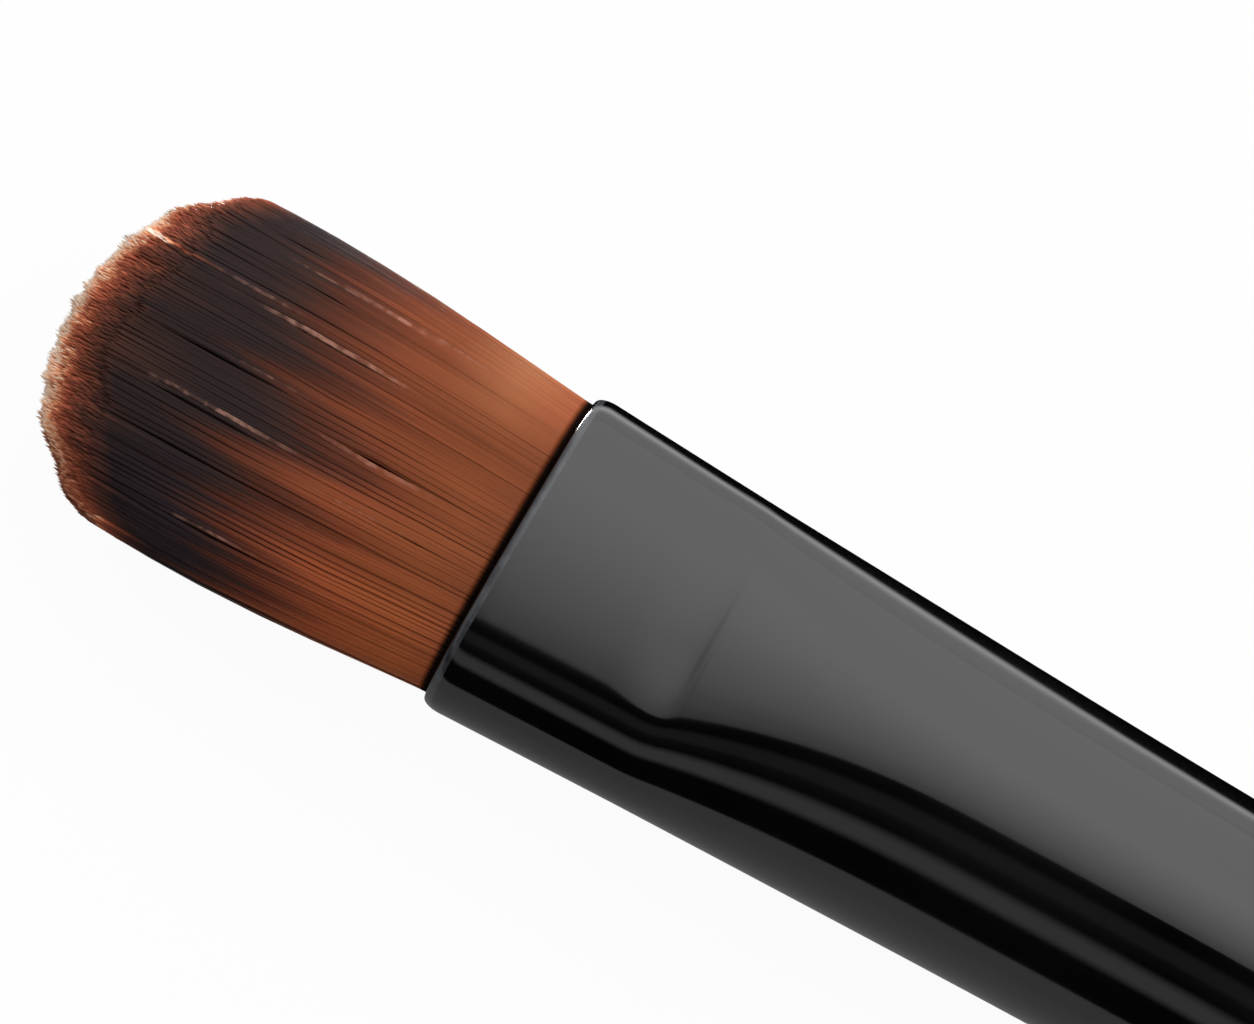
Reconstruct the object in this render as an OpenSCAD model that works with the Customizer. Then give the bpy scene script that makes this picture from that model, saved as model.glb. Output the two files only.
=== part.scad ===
// Flat eyeshadow brush, lying along X with its head towards -X and its broad faces up and down.
// It rests on the round grip of its handle, and the origin is under the middle of its length.
// Inside the file every piece is drawn from the centre of the ferrule's mouth; place() moves it.

/* [Bristle tuft] */
// Length of the tuft in front of the ferrule, to the crown of its tip
tuft_out = 13.2; // [9:0.1:18]
// Widest width of the tuft
tuft_w = 9.82; // [9.2:0.01:11]
// Distance from the ferrule to where the tuft is widest
tuft_widest_at = 8.5; // [5:0.1:9]
// Thickness of the tuft at its tip
tuft_tip_t = 2.9; // [2:0.1:4.5]
// Depth of the rounded front, seen on the broad face
tuft_dome_w = 3.95; // [2:0.05:5]
// Depth of the rounded front, seen from the side
tuft_dome_t = 1.6; // [0.5:0.1:3]
// Diameter of one drawn strand, which stands for a lock of filaments
strand_d = 0.26; // [0.16:0.01:0.28]
// Distance from the outermost strands to the edge of the slice that carries them
strand_edge = 0.02; // [0.01:0.01:0.1]
// Strands end unevenly by up to this much
strand_uneven = 0.3; // [0:0.05:0.5]

/* [Tuft root] */
// Depth of the bound root's front face behind the mouth
root_depth = 1.2; // [0.6:0.1:2]
// Length of the root's front slice, which carries the strands
root_slice_len = 0.8; // [0.4:0.1:1.2]
// Length of the bound root behind that slice
root_len = 6.4; // [5:0.1:8]
// Slack between the root and the inside of the ferrule
root_slack = 0.04; // [0.02:0.01:0.1]
// Diameter of the binding thread
thread_d = 0.4; // [0.2:0.05:0.5]
// Turns of the binding thread
thread_turns = 3; // [2:1:4]
// Gap between the turns of the binding thread
thread_gap = 0.45; // [0.42:0.01:0.8]
// Distance from the end of the root to its waist, where the thread is wound
thread_back = 0.8; // [0.5:0.1:2]
// Length of the cured adhesive behind the root
plug_len = 3.4; // [2:0.1:5]

/* [Ferrule] */
// Length of the ferrule
ferrule_len = 34; // [30:0.5:45]
// Outer diameter of its round end
tube_d = 8; // [7.6:0.05:8.6]
// Wall of the ferrule
ferrule_wall = 0.3; // [0.2:0.01:0.4]
// Outer width of the flattened mouth
mouth_w = 9.5; // [9:0.05:10.5]
// Radius of the two rounded sides of the mouth
mouth_side_r = 2.53; // [2.2:0.01:3]
// Length of the pressed flat part, up to its crease
flat_len = 5.6; // [4:0.1:7]
// Distance from the mouth to where the thickness is full
full_thickness_at = 14.5; // [12:0.1:18]
// Distance from the mouth to where the ferrule is round
round_at = 22; // [20:0.5:24]
// Length of the turned-in lip
lip_len = 0.55; // [0.2:0.05:0.8]
// How far the lip turns in
lip_drop = 0.22; // [0.05:0.01:0.28]

/* [Crimps] */
// Number of crimp rings
crimp_count = 2; // [1:1:2]
// Distance from the first crimp ring to the ferrule's rear end
crimp_from_rear = 7; // [5:0.1:8]
// Spacing of the crimp rings
crimp_pitch = 3; // [2:0.1:3.5]
// Width of a crimp ring
crimp_w = 1.5; // [0.8:0.1:1.8]
// Depth of a crimp ring
crimp_depth = 0.32; // [0.1:0.01:0.4]

/* [Handle] */
// Length of the handle behind the ferrule
handle_len = 112.8; // [90:0.1:130]
// How far the handle's shoulder stands proud of the ferrule
shoulder_step = 0.1; // [0:0.05:0.3]
// Rounding of the shoulder's edge
shoulder_round = 0.35; // [0.1:0.05:0.5]
// Diameter of the round grip
grip_d = 9.2; // [8.8:0.05:10]
// Distance from the ferrule to the grip
grip_at = 16; // [10:0.5:20]
// Length of the grip, which is a true cylinder
grip_len = 14; // [8:0.5:20]
// Diameter at the start of the rounded tail
tail_d = 4.6; // [3.5:0.1:6]
// Length of the rounded tail
tail_len = 4; // [2:0.1:6]
// Length of the tenon inside the ferrule
tenon_len = 18; // [14:0.5:20]
// Length of the tenon's tapered nose
tenon_nose = 1.2; // [0.5:0.1:2]
// Thickness of the adhesive round the tenon
adhesive_t = 0.1; // [0.05:0.01:0.15]

/* [Hidden] */
$fn = 96;

// Angle from the middle of a broad face to where the rounded side begins
crown_angle = 11;
// Points along each rounded side and each broad face of an oval section
side_steps = 24;
face_steps = 6;
// Rings along the lip, the pressed flat and the transition to round
lip_steps = 4;
flat_steps = 2;
transition_steps = 11;
// Points along each smooth stretch of a turned outline
turned_steps = 16;
// The round sleeve is drawn this much smaller than the transition that it continues
sleeve_step = 0.012;

tube_r = tube_d / 2;
bore_r = tube_r - ferrule_wall;
ferrule_half_w = mouth_w / 2;

// Shares of the path from start to end: quick at first, and level at the end
function settle(x, power) = 1 - pow(1 - min(max(x, 0), 1), power);
// A level start and a level end
function sway(x) = (1 - cos(180 * min(max(x, 0), 1))) / 2;

// Half the ferrule's outer width, and the radius of its rounded sides, at a distance behind the mouth
width_power = 1.35;
thickness_power = 2;
function half_w(x) = ferrule_half_w + (tube_r - ferrule_half_w) * settle(x / round_at, width_power);
function side_r(x) =
    let (done = settle((x - flat_len) / (full_thickness_at - flat_len), thickness_power))
    min(mouth_side_r + (tube_r - mouth_side_r) * done, half_w(x));

// The oval section: two rounded sides and two crowned faces, all tangent, given by the normals
// of its points. The rounded sides are centred at +-core on Y, and inset shrinks all of it evenly.
side_normals = [for (i = [0:side_steps - 1])
    (90 - crown_angle) * (2 * i / side_steps - 1)];
face_normals = [for (i = [0:face_steps - 1])
    90 + crown_angle * (2 * i / face_steps - 1)];
normals = concat(side_normals, face_normals,
    [for (a = side_normals) a + 180], [for (a = face_normals) a + 180]);

function side_arc(x, core, r, turn) =
    [for (a = side_normals) [x, turn * (core + r * cos(a)), turn * r * sin(a)]];
function face_arc(x, core, r, turn) =
    let (face_r = r + core / sin(crown_angle), drop = (face_r - r) * cos(crown_angle))
    [for (a = face_normals) [x, turn * face_r * cos(a), turn * (face_r * sin(a) - drop)]];
function oval(x, core, r) = concat(
    side_arc(x, core, r, 1), face_arc(x, core, r, 1),
    side_arc(x, core, r, -1), face_arc(x, core, r, -1));
function ferrule_ring(x, inset) = oval(x, half_w(x) - side_r(x), side_r(x) - inset);

// Triangles of a band between ring i and ring j, each of n points
function band(i, j, n) = [for (k = [0:n - 1])
    each [[i * n + k, i * n + (k + 1) % n, j * n + (k + 1) % n],
        [i * n + k, j * n + (k + 1) % n, j * n + k]]];

// A closed solid through a row of rings that runs towards +X, with a flat cap at each end
module loft(rings) {
    n = len(rings[0]);
    last = len(rings) - 1;
    polyhedron(
        points = [for (ring = rings) each ring],
        faces = concat(
            [for (i = [0:last - 1]) each [for (t = band(i, i + 1, n)) [t[0], t[2], t[1]]]],
            [for (k = [1:n - 2]) [0, k, k + 1]],
            [for (k = [1:n - 2]) [last * n, last * n + k + 1, last * n + k]]));
}

// A closed shell through a row of rings that comes back to its first ring
module loft_shell(rings) {
    n = len(rings[0]);
    count = len(rings);
    polyhedron(
        points = [for (ring = rings) each ring],
        faces = [for (i = [0:count - 1])
            each [for (t = band(i, (i + 1) % count, n)) [t[0], t[2], t[1]]]]);
}

// Turns an outline of [radius, distance along X] about the X axis
module turned(outline) {
    rotate([0, 90, 0]) rotate_extrude() polygon(outline);
}

function reversed(list) = [for (i = [len(list) - 1:-1:0]) list[i]];

// A list of distances in rising order, each kept once
function sorted(list) = len(list) < 2 ? list :
    let (pivot = list[0])
    concat(
        sorted([for (x = list) if (x < pivot) x]),
        [pivot],
        sorted([for (x = list) if (x > pivot) x]));

// Moves a piece from the mouth's centre to the place where the brush lies
module place() {
    translate([(tuft_out - ferrule_len - handle_len) / 2, 0, grip_d / 2]) children();
}

// The tuft's strands stand on a lattice of rows. A row is a number from -rings to rings, and x is
// counted in half steps, so the neighbours of (row, x) are (row, x + 2) and (row + 1, x + 1).
// The lattice is a stretched hexagon round a core of core_steps; its rim carries no strand.
rings = 7;
core_steps = 13;
rim = rings + 1;
strand_seed = 7;
function row_reach(row) = core_steps + 2 * rim - abs(row);
function ring_of(row, x) = max(abs(row), (abs(x) + abs(row) - core_steps) / 2);
places = [for (row = [-rings:rings]) for (x = [2 - row_reach(row):2:row_reach(row) - 2]) [row, x]];
row_start = [for (row = [-rings:rings + 1])
    len([for (p = places) if (p[0] < row) 1])];
unevenness = rands(-1, 0, len(places), strand_seed);
function strand_number(row, x) = row_start[row + rings] + (x + row_reach(row) - 2) / 2;

// The rim in one anticlockwise walk: bottom row, right side, top row, left side
top_reach = row_reach(rim);
rim_walk = concat(
    [for (x = [-top_reach:2:top_reach]) [-rim, x]],
    [for (row = [-rings:rings]) [row, row_reach(row)]],
    [for (x = [top_reach:-2:-top_reach]) [rim, x]],
    [for (row = [rings:-1:-rings]) [row, -row_reach(row)]]);
function rim_number(row, x) =
    row == -rim ? (x + top_reach) / 2
    : row == rim ? top_reach + 1 + 2 * rings + 1 + (top_reach - x) / 2
    : x > 0 ? top_reach + 1 + row + rings
    : 2 * (top_reach + 1) + 2 * rings + 1 + rings - row;
function on_rim(row, x) = abs(row) == rim || abs(x) == row_reach(row);

// The tuft's own section at a distance in front of the mouth: half its width, the radius of its
// rounded sides, and how much higher the middle of its faces stands. Inside the mouth, where the
// distance is negative, it follows the ferrule's inner wall.
fill_inset = ferrule_wall + root_slack;
tuft_mouth_half_w = ferrule_half_w - fill_inset;
tuft_mouth_r = mouth_side_r - fill_inset;
crown_share = (tuft_mouth_half_w / tuft_mouth_r - 1) * tan(crown_angle / 2);
tuft_tip_r = tuft_tip_t / 2 / (1 + crown_share);
taper_power = 1.7;
function tuft_half_w(d) = half_w(max(-d, 0)) - fill_inset
    + (tuft_w / 2 - tuft_mouth_half_w) * sin(90 * min(max(d, 0) / tuft_widest_at, 1));
function tuft_r(d) = tuft_mouth_r
    + (tuft_tip_r - tuft_mouth_r) * pow(min(max(d, 0) / tuft_out, 1), taper_power);

// Where a lattice place lies in the section: core and reach in millimetres
function spot(row, x, core, reach) =
    let (along = min(max(x / core_steps, -1), 1),
        side = x / 2 - along * core_steps / 2,
        turn = atan2(row * sqrt(3) / 2, side))
    [along * core + (row == 0 && side == 0 ? 0 : reach * cos(turn)),
        row == 0 ? 0 : reach * sin(turn) * (1 + crown_share * (1 - along * along))];

// How far a strand reaches in front of the mouth
function strand_out(row, x) =
    let (level = ring_of(row, x) / rings,
        flank = spot(row, x, tuft_w / 2 - tuft_tip_r, tuft_tip_r * level),
        across = min(abs(flank[0]) / (tuft_w / 2), 1),
        up = min(abs(flank[1]) / (tuft_tip_t / 2), 1))
    tuft_out - tuft_dome_w * (1 - sqrt(1 - across * across))
        - tuft_dome_t * (1 - sqrt(1 - up * up));

// Shares of a strand's length where its rings stand, and of its diameter there
strand_shares = [0, 0.4, 0.8];
girth_shares = [1, 1, 0.8];
strand_sides = 3;
first_corner = 60;
strand_points_each = strand_sides * len(strand_shares) + 1;
function strand_centre(row, x, share) =
    let (out = strand_out(row, x) + strand_uneven * unevenness[strand_number(row, x)],
        d = -root_depth + share * (out + root_depth),
        reach = (tuft_r(d) - strand_d / 2 - strand_edge) * ring_of(row, x) / rings,
        at = spot(row, x, tuft_half_w(d) - tuft_r(d), reach))
    [-d, at[0], at[1]];
function strand_points(row, x) = concat(
    [for (level = [0:len(strand_shares) - 1])
        let (centre = strand_centre(row, x, strand_shares[level]))
        for (c = [0:strand_sides - 1])
            let (a = first_corner + c * 360 / strand_sides)
            centre + girth_shares[level] * strand_d / 2 * [0, cos(a), sin(a)]],
    [strand_centre(row, x, 1)]);

// The number of a point at a place: a corner of its strand, or the rim's front point
rim_first = len(places) * strand_points_each;
function corner(row, x, c) = on_rim(row, x)
    ? rim_first + 2 * rim_number(row, x)
    : strand_number(row, x) * strand_points_each + c;

// Skin between the strands: the triangle of three neighbours, and a sliver at each strand's side
function skin_faces() = [for (row = [-rim:rim]) for (x = [-row_reach(row):2:row_reach(row)]) each concat(
    row < rim && x < row_reach(row) && abs(x + 1) <= row_reach(row + 1)
        ? [[corner(row, x, 0), corner(row, x + 2, 1), corner(row + 1, x + 1, 2)]] : [],
    row > -rim && x < row_reach(row) && abs(x + 1) <= row_reach(row - 1)
        ? [[corner(row, x, 2), corner(row - 1, x + 1, 0), corner(row, x + 2, 1)]] : [],
    on_rim(row, x) ? []
        : [[corner(row, x, 2), corner(row, x + 2, 1), corner(row, x, 0)],
            [corner(row - 1, x - 1, 0), corner(row, x, 2), corner(row, x, 1)],
            [corner(row, x, 1), corner(row, x, 0), corner(row + 1, x - 1, 2)]])];

function strand_faces(number) =
    let (first = number * strand_points_each, levels = len(strand_shares))
    concat(
        [for (level = [0:levels - 2]) for (c = [0:strand_sides - 1])
            let (a = first + level * strand_sides + c,
                b = first + level * strand_sides + (c + 1) % strand_sides)
            each [[a, b, b + strand_sides], [a, b + strand_sides, a + strand_sides]]],
        [for (c = [0:strand_sides - 1])
            let (last = first + (levels - 1) * strand_sides)
            [last + c, last + (c + 1) % strand_sides, last + strand_sides]]);

function slice_faces() =
    let (n = len(rim_walk))
    concat(
        [for (i = [0:n - 1])
            let (a = rim_first + 2 * i, b = rim_first + 2 * ((i + 1) % n))
            each [[b, a, a + 1], [b, a + 1, b + 1]]],
        [for (i = [1:n - 2])
            [rim_first + 1, rim_first + 2 * (i + 1) + 1, rim_first + 2 * i + 1]]);

function slice_point(x, place) =
    let (at = spot(place[0], place[1], tuft_half_w(-x) - tuft_mouth_r, tuft_mouth_r))
    [x, at[0], at[1]];

module bristle_tuft() {
    color("#6b3a26")
    polyhedron(
        points = concat(
            [for (p = places) each strand_points(p[0], p[1])],
            [for (p = rim_walk) each [slice_point(root_depth, p), slice_point(root_start, p)]]),
        faces = concat(
            skin_faces(),
            [for (number = [0:len(places) - 1]) each strand_faces(number)],
            slice_faces()));
}

// What fills the ferrule follows its inner wall ring by ring, with the root's slack
function fill_stations(start, end, between) = sorted(concat(
    [start, end], between, [for (x = body_stations) if (x > start && x < end) x]));

// The bound root fills the flattened ferrule, drawn in by a waist where the thread is wound
root_start = root_depth + root_slice_len;
root_end = root_start + root_len;
thread_pitch = thread_d + thread_gap;
thread_seat = 0.04;
waist_len = thread_turns * thread_pitch + 2 * thread_d;
waist_start = root_end - thread_back - waist_len;
waist_slope = thread_d / 2;
waist_depth = thread_d + 4 * thread_seat;
waist_points = [waist_start, waist_start + waist_slope,
    waist_start + waist_len - waist_slope, waist_start + waist_len];
function root_inset(x) = fill_inset
    + (x > waist_start && x < waist_start + waist_len ? waist_depth : 0);

module root_bundle() {
    color("#5a3322")
    loft([for (x = fill_stations(root_start, root_end, waist_points))
        ferrule_ring(x, root_inset(x))]);
}

// One unbroken thread wound round the waist
thread_sides = 6;
module binding_thread() {
    turn_steps = len(normals) / 2;
    first = waist_start + thread_d;
    inset = fill_inset + waist_depth - thread_d / 2 - thread_seat;
    path = [for (i = [0:thread_turns * turn_steps])
        let (x = first + thread_pitch * i / turn_steps, k = 2 * (i % turn_steps))
        concat(ferrule_ring(x, inset)[k], [normals[k]])];
    turn_gaps = [for (i = [0:len(path) - turn_steps - 1])
        norm([for (axis = [0:2]) path[i + turn_steps][axis] - path[i][axis]]) - thread_d];
    echo(least_gap_between_turns = min(turn_gaps));
    color("#d8cdb4")
    loft([for (p = path)
        [for (s = [0:thread_sides - 1])
            let (a = -360 * s / thread_sides, out = thread_d / 2 * cos(a))
            [p[0] + thread_d / 2 * sin(a), p[1] + out * cos(p[3]), p[2] + out * sin(p[3])]]]);
}

// Cured adhesive behind the root
module epoxy_plug() {
    color("#c9a45c")
    loft([for (x = fill_stations(root_end, root_end + plug_len, []))
        ferrule_ring(x, fill_inset)]);
}

// Outer outline of the round sleeve, with a shallow cosine groove at each crimp
first_crimp = ferrule_len - crimp_from_rear;
function crimp_cut(x) = crimp_depth * max([for (i = [0:crimp_count - 1])
    let (off = abs(x - first_crimp - i * crimp_pitch) / crimp_w)
    off < 1 / 2 ? (1 + cos(360 * off)) / 2 : 0]);
crimp_points = [for (i = [0:crimp_count - 1]) for (k = [0:turned_steps])
    first_crimp + i * crimp_pitch + crimp_w * (k / turned_steps - 1 / 2)];
function sleeve_outline(r, start, end) =
    [for (x = concat([start], [for (x = crimp_points) if (x > start && x < end) x], [end]))
        [r - crimp_cut(x), x]];

// The transition's rings stand closer together near the crease
station_power = 1.25;
lip_stations = [for (i = [0:lip_steps])
    let (a = 90 * i / lip_steps) [lip_len * (1 - cos(a)), lip_drop * (1 - sin(a))]];
body_stations = concat(
    [for (i = [1:flat_steps]) lip_len + (flat_len - lip_len) * i / flat_steps],
    [for (i = [1:transition_steps])
        flat_len + (round_at - flat_len) * pow(i / transition_steps, station_power)]);

module ferrule() {
    outside = concat(
        [for (s = lip_stations) ferrule_ring(s[0], s[1])],
        [for (x = body_stations) ferrule_ring(x, 0)]);
    inside = concat(
        [for (x = reversed(body_stations)) ferrule_ring(x, ferrule_wall)],
        [ferrule_ring(0, ferrule_wall)]);
    color("#1b1b1d") {
        loft_shell(concat(outside, inside));
        turned(concat(
            sleeve_outline(tube_r - sleeve_step, round_at, ferrule_len),
            reversed(sleeve_outline(bore_r - sleeve_step, round_at, ferrule_len))));
    }
}

// The tenon follows the sleeve's crimps, with a film of adhesive between them
tenon_start = ferrule_len - tenon_len;
sleeve_bore_r = bore_r - sleeve_step;
tenon_r = sleeve_bore_r - adhesive_t;
glue_start = max(tenon_start + tenon_nose, round_at + tenon_nose);

module tenon_adhesive() {
    color("#d9c48a")
    turned(concat(
        sleeve_outline(sleeve_bore_r, glue_start, ferrule_len),
        reversed(sleeve_outline(tenon_r, glue_start, ferrule_len))));
}

// Outline of the handle from the ferrule's end to the tail
shoulder_r = tube_r + shoulder_step;
grip_r = grip_d / 2;
tail_r = tail_d / 2;
grip_start = ferrule_len + grip_at;
grip_end = grip_start + grip_len;
handle_end = ferrule_len + handle_len;
shoulder_points = [for (i = [0:turned_steps / 4])
    let (a = 90 * i / (turned_steps / 4))
    [shoulder_r - shoulder_round * (1 - sin(a)), ferrule_len + shoulder_round * (1 - cos(a))]];
swell_points = [for (i = [1:turned_steps])
    let (share = i / turned_steps, start = ferrule_len + shoulder_round)
    [shoulder_r + (grip_r - shoulder_r) * sway(share), start + (grip_start - start) * share]];
taper_points = [for (i = [0:2 * turned_steps])
    let (share = i / (2 * turned_steps))
    [grip_r + (tail_r - grip_r) * sway(share),
        grip_end + (handle_end - tail_len - grip_end) * share]];
tail_points = [for (i = [1:turned_steps - 1])
    let (a = 90 * i / turned_steps)
    [tail_r * cos(a), handle_end - tail_len * (1 - sin(a))]];

module handle() {
    tenon = concat(
        [[0, tenon_start], [tenon_r - tenon_nose / 2, tenon_start]],
        sleeve_outline(tenon_r, tenon_start + tenon_nose, ferrule_len));
    color("#18181a")
    turned(concat(tenon, shoulder_points, swell_points, taper_points, tail_points,
        [[0, handle_end]]));
}

place() bristle_tuft();
place() root_bundle();
place() binding_thread();
place() epoxy_plug();
place() ferrule();
place() tenon_adhesive();
place() handle();
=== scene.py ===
"""Flat eyeshadow brush: filaments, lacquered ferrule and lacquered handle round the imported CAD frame.

Shapes repeat the laws of part.scad. A point is (x, y, z) in millimetres, with x counted back from
the centre of the ferrule's mouth and z up from the brush's axis, until in_frame() places it.
"""

import math

import bpy
import numpy as np
from mathutils import Matrix, Vector


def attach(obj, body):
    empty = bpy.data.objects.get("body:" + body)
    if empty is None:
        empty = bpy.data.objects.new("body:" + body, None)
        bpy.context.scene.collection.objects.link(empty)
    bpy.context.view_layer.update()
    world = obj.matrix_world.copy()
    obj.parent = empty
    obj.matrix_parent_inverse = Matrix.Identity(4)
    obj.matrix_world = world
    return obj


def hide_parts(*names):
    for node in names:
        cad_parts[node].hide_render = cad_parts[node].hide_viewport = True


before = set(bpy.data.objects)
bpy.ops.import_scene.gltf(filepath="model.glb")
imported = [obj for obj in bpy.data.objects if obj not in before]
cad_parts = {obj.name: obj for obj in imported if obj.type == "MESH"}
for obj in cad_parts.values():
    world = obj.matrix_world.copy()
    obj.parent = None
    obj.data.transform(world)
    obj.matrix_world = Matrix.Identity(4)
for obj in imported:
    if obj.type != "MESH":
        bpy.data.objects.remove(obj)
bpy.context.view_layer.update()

MM = 0.001

# The brush's place and main sizes in millimetres, as in part.scad, but with a pressed flat that is
# 0.15 mm longer and an eased fold, as in the photograph
MOUTH_X, AXIS_Z = -66.8, 4.6
TUFT_OUT, TUFT_W, TUFT_WIDEST_AT, TUFT_TIP_T = 13.2, 9.82, 8.5, 2.9
TUFT_DOME_W, TUFT_DOME_T, TUFT_TAPER_POWER = 3.95, 1.6, 1.7
ROOT_START, ROOT_SLACK = 2.0, 0.04
FERRULE_LEN, TUBE_R, WALL, MOUTH_HALF_W, MOUTH_SIDE_R = 34.0, 4.0, 0.3, 4.75, 2.53
FLAT_LEN, FOLD_POWER, FULL_THICKNESS_AT, ROUND_AT, SLEEVE_STEP = 5.75, 2.3, 14.5, 22.0, 0.012
LIP_LEN, LIP_DROP, CROWN_ANGLE, FLARE_POWER = 0.55, 0.22, 11.0, 1.35
CRIMPS_AT, CRIMP_W, CRIMP_DEPTH = (27.0, 30.0), 1.5, 0.32
HANDLE_LEN, TENON_LEN, TENON_NOSE, ADHESIVE_T = 112.8, 18.0, 1.2, 0.1
SHOULDER_R, SHOULDER_ROUND, GRIP_R, GRIP_AT, GRIP_LEN = 4.1, 0.35, 4.6, 16.0, 14.0
TAIL_R, TAIL_LEN = 2.3, 4.0

# Details of the ferrule that only the scene has: the fold's easing and crease, and the rear edge
FOLD_EASE, REAR_EDGE_R = (-0.33, -0.11, 0.11, 0.33), 0.06
CREASE_AT, CREASE_LEAN, CREASE_DEPTH, CREASE_FRONT, CREASE_BACK = 5.5, 0.05, 0.084, 1.6, 0.65
CREASE_FROM_Y, CREASE_TO_Y = -2.9, 4.6

# Where the ferrule's rows lie close together, before and behind the fold and over the crimps, and
# steps round a section's sides and faces and round the handle
FOLD_BEFORE, FOLD_AFTER = 2.1, 0.9
CRIMPED_FROM, CRIMPED_TO = 26.0, 31.0
SIDE_STEPS, FACE_STEPS, HANDLE_STEPS = 64, 32, 128


# ---------------------------------------------------------------- shape laws


def settle(x, power):
    """1 - (1 - x)^power for x from 0 to 1: quick at first, and level at the end."""
    return 1 - (1 - np.clip(x, 0, 1)) ** power


def sway(x):
    """(1 - cos(pi x)) / 2 for x from 0 to 1: level at both ends."""
    return (1 - np.cos(np.pi * np.clip(x, 0, 1))) / 2


def window(d, start, end):
    """1 between start and end, fading over a third of the stretch at each side."""
    fade = (end - start) / 3
    return sway((d - start) / fade) * sway((end - d) / fade)


def half_w(x):
    """Half the ferrule's outer width: from the mouth's to the tube's by the settling law."""
    return MOUTH_HALF_W + (TUBE_R - MOUTH_HALF_W) * settle(x / ROUND_AT, FLARE_POWER)


def side_r(x):
    """Radius of the ferrule's rounded sides: constant on the pressed flat, then settling to the
    tube's. The turn between the two is eased over two thirds of a millimetre."""
    done = np.mean([settle((x + ease - FLAT_LEN) / (FULL_THICKNESS_AT - FLAT_LEN), FOLD_POWER)
                    for ease in FOLD_EASE], axis=0)
    return np.minimum(MOUTH_SIDE_R + (TUBE_R - MOUTH_SIDE_R) * done, half_w(x))


def section_angles(side_steps, face_steps):
    """Normals of an oval section, in degrees from +Y: two rounded sides and two crowned faces."""
    side = (90 - CROWN_ANGLE) * (2 * np.arange(side_steps) / side_steps - 1)
    face = 90 + CROWN_ANGLE * (2 * np.arange(face_steps) / face_steps - 1)
    return np.concatenate([side, face, side + 180, face + 180])


def oval(x, core, r, angles):
    """Oval sections, one row for each x. A rounded side is an arc of radius r round (+-core, 0);
    a crowned face is an arc of radius r + core / sin(crown) that meets both sides smoothly."""
    x, core, r = (np.asarray(v, float)[:, None] for v in (x, core, r))
    a = np.radians(angles)[None, :]
    on_face = np.abs(np.cos(a)) <= math.sin(math.radians(CROWN_ANGLE))
    face_r = r + core / math.sin(math.radians(CROWN_ANGLE))
    drop = (face_r - r) * math.cos(math.radians(CROWN_ANGLE))
    y = np.where(on_face, face_r * np.cos(a), np.sign(np.cos(a)) * core + r * np.cos(a))
    z = np.where(on_face, face_r * np.sin(a) - np.sign(np.sin(a)) * drop, r * np.sin(a))
    return np.stack([x + 0 * y, y, z], axis=-1)


def half_height(y, w, r):
    """Height of an oval's outline above its middle line at y: crown in the middle, circle at the sides."""
    core = w - r
    crown = math.radians(CROWN_ANGLE)
    face_r = r + core / math.sin(crown)
    face = np.sqrt(np.maximum(face_r**2 - y**2, 0)) - (face_r - r) * math.cos(crown)
    side = np.sqrt(np.maximum(r**2 - (np.abs(y) - core) ** 2, 0))
    return np.where(np.abs(y) <= core + r * math.sin(crown), face, side)


FILL_INSET = WALL + ROOT_SLACK
TUFT_MOUTH_W, TUFT_MOUTH_R = MOUTH_HALF_W - FILL_INSET, MOUTH_SIDE_R - FILL_INSET
CROWN_SHARE = (TUFT_MOUTH_W / TUFT_MOUTH_R - 1) * math.tan(math.radians(CROWN_ANGLE / 2))
TUFT_TIP_R = TUFT_TIP_T / 2 / (1 + CROWN_SHARE)


def tuft_half_w(d):
    """Half the tuft's width at d in front of the mouth: a quarter sine up to its widest place."""
    swell = np.sin(np.pi / 2 * np.clip(d / TUFT_WIDEST_AT, 0, 1))
    return half_w(np.maximum(-d, 0)) - FILL_INSET + (TUFT_W / 2 - TUFT_MOUTH_W) * swell


def tuft_r(d):
    """Radius of the tuft's rounded sides at d in front of the mouth: a power law down to the tip's."""
    return TUFT_MOUTH_R + (TUFT_TIP_R - TUFT_MOUTH_R) * np.clip(d / TUFT_OUT, 0, 1) ** TUFT_TAPER_POWER


# ---------------------------------------------------------------- meshes


def in_frame(points):
    """Points in millimetres from the mouth's centre, as metres in the shared frame."""
    return (np.asarray(points, float) + [MOUTH_X, 0, AXIS_Z]) * MM


def add_mesh(name, points, faces, materials, sharp_over=None):
    """A mesh object at the origin from points in metres and a list of face arrays."""
    me = bpy.data.meshes.new(name)
    corners = np.concatenate([f.ravel() for f in faces]).astype(np.int32)
    sizes = np.concatenate([np.full(len(f), f.shape[1]) for f in faces]).astype(np.int32)
    me.vertices.add(len(points))
    me.vertices.foreach_set("co", np.asarray(points, np.float32).ravel())
    me.loops.add(len(corners))
    me.loops.foreach_set("vertex_index", corners)
    me.polygons.add(len(sizes))
    me.polygons.foreach_set("loop_start", (np.cumsum(sizes) - sizes).astype(np.int32))
    me.update(calc_edges=True)
    me.polygons.foreach_set("use_smooth", np.ones(len(sizes), bool))
    if sharp_over:
        me.set_sharp_from_angle(angle=math.radians(sharp_over))
    for material in materials:
        me.materials.append(material)
    ob = bpy.data.objects.new(name, me)
    bpy.context.scene.collection.objects.link(ob)
    return ob


def add_attribute(ob, name, values):
    """A number for each vertex, which a material reads by its name."""
    own = ob.data.attributes.new(name, "FLOAT", "POINT")
    own.data.foreach_set("value", values.astype(np.float32).ravel())


def bands(rows, columns, close_rows=False):
    """Quads between neighbouring rows of a grid whose columns run round and close."""
    last = rows if close_rows else rows - 1
    i, k = np.meshgrid(np.arange(last), np.arange(columns), indexing="ij")
    j, m = (i + 1) % rows, (k + 1) % columns
    return np.stack([i * columns + k, i * columns + m, j * columns + m, j * columns + k], -1).reshape(-1, 4)


# ---------------------------------------------------------------- materials


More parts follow.
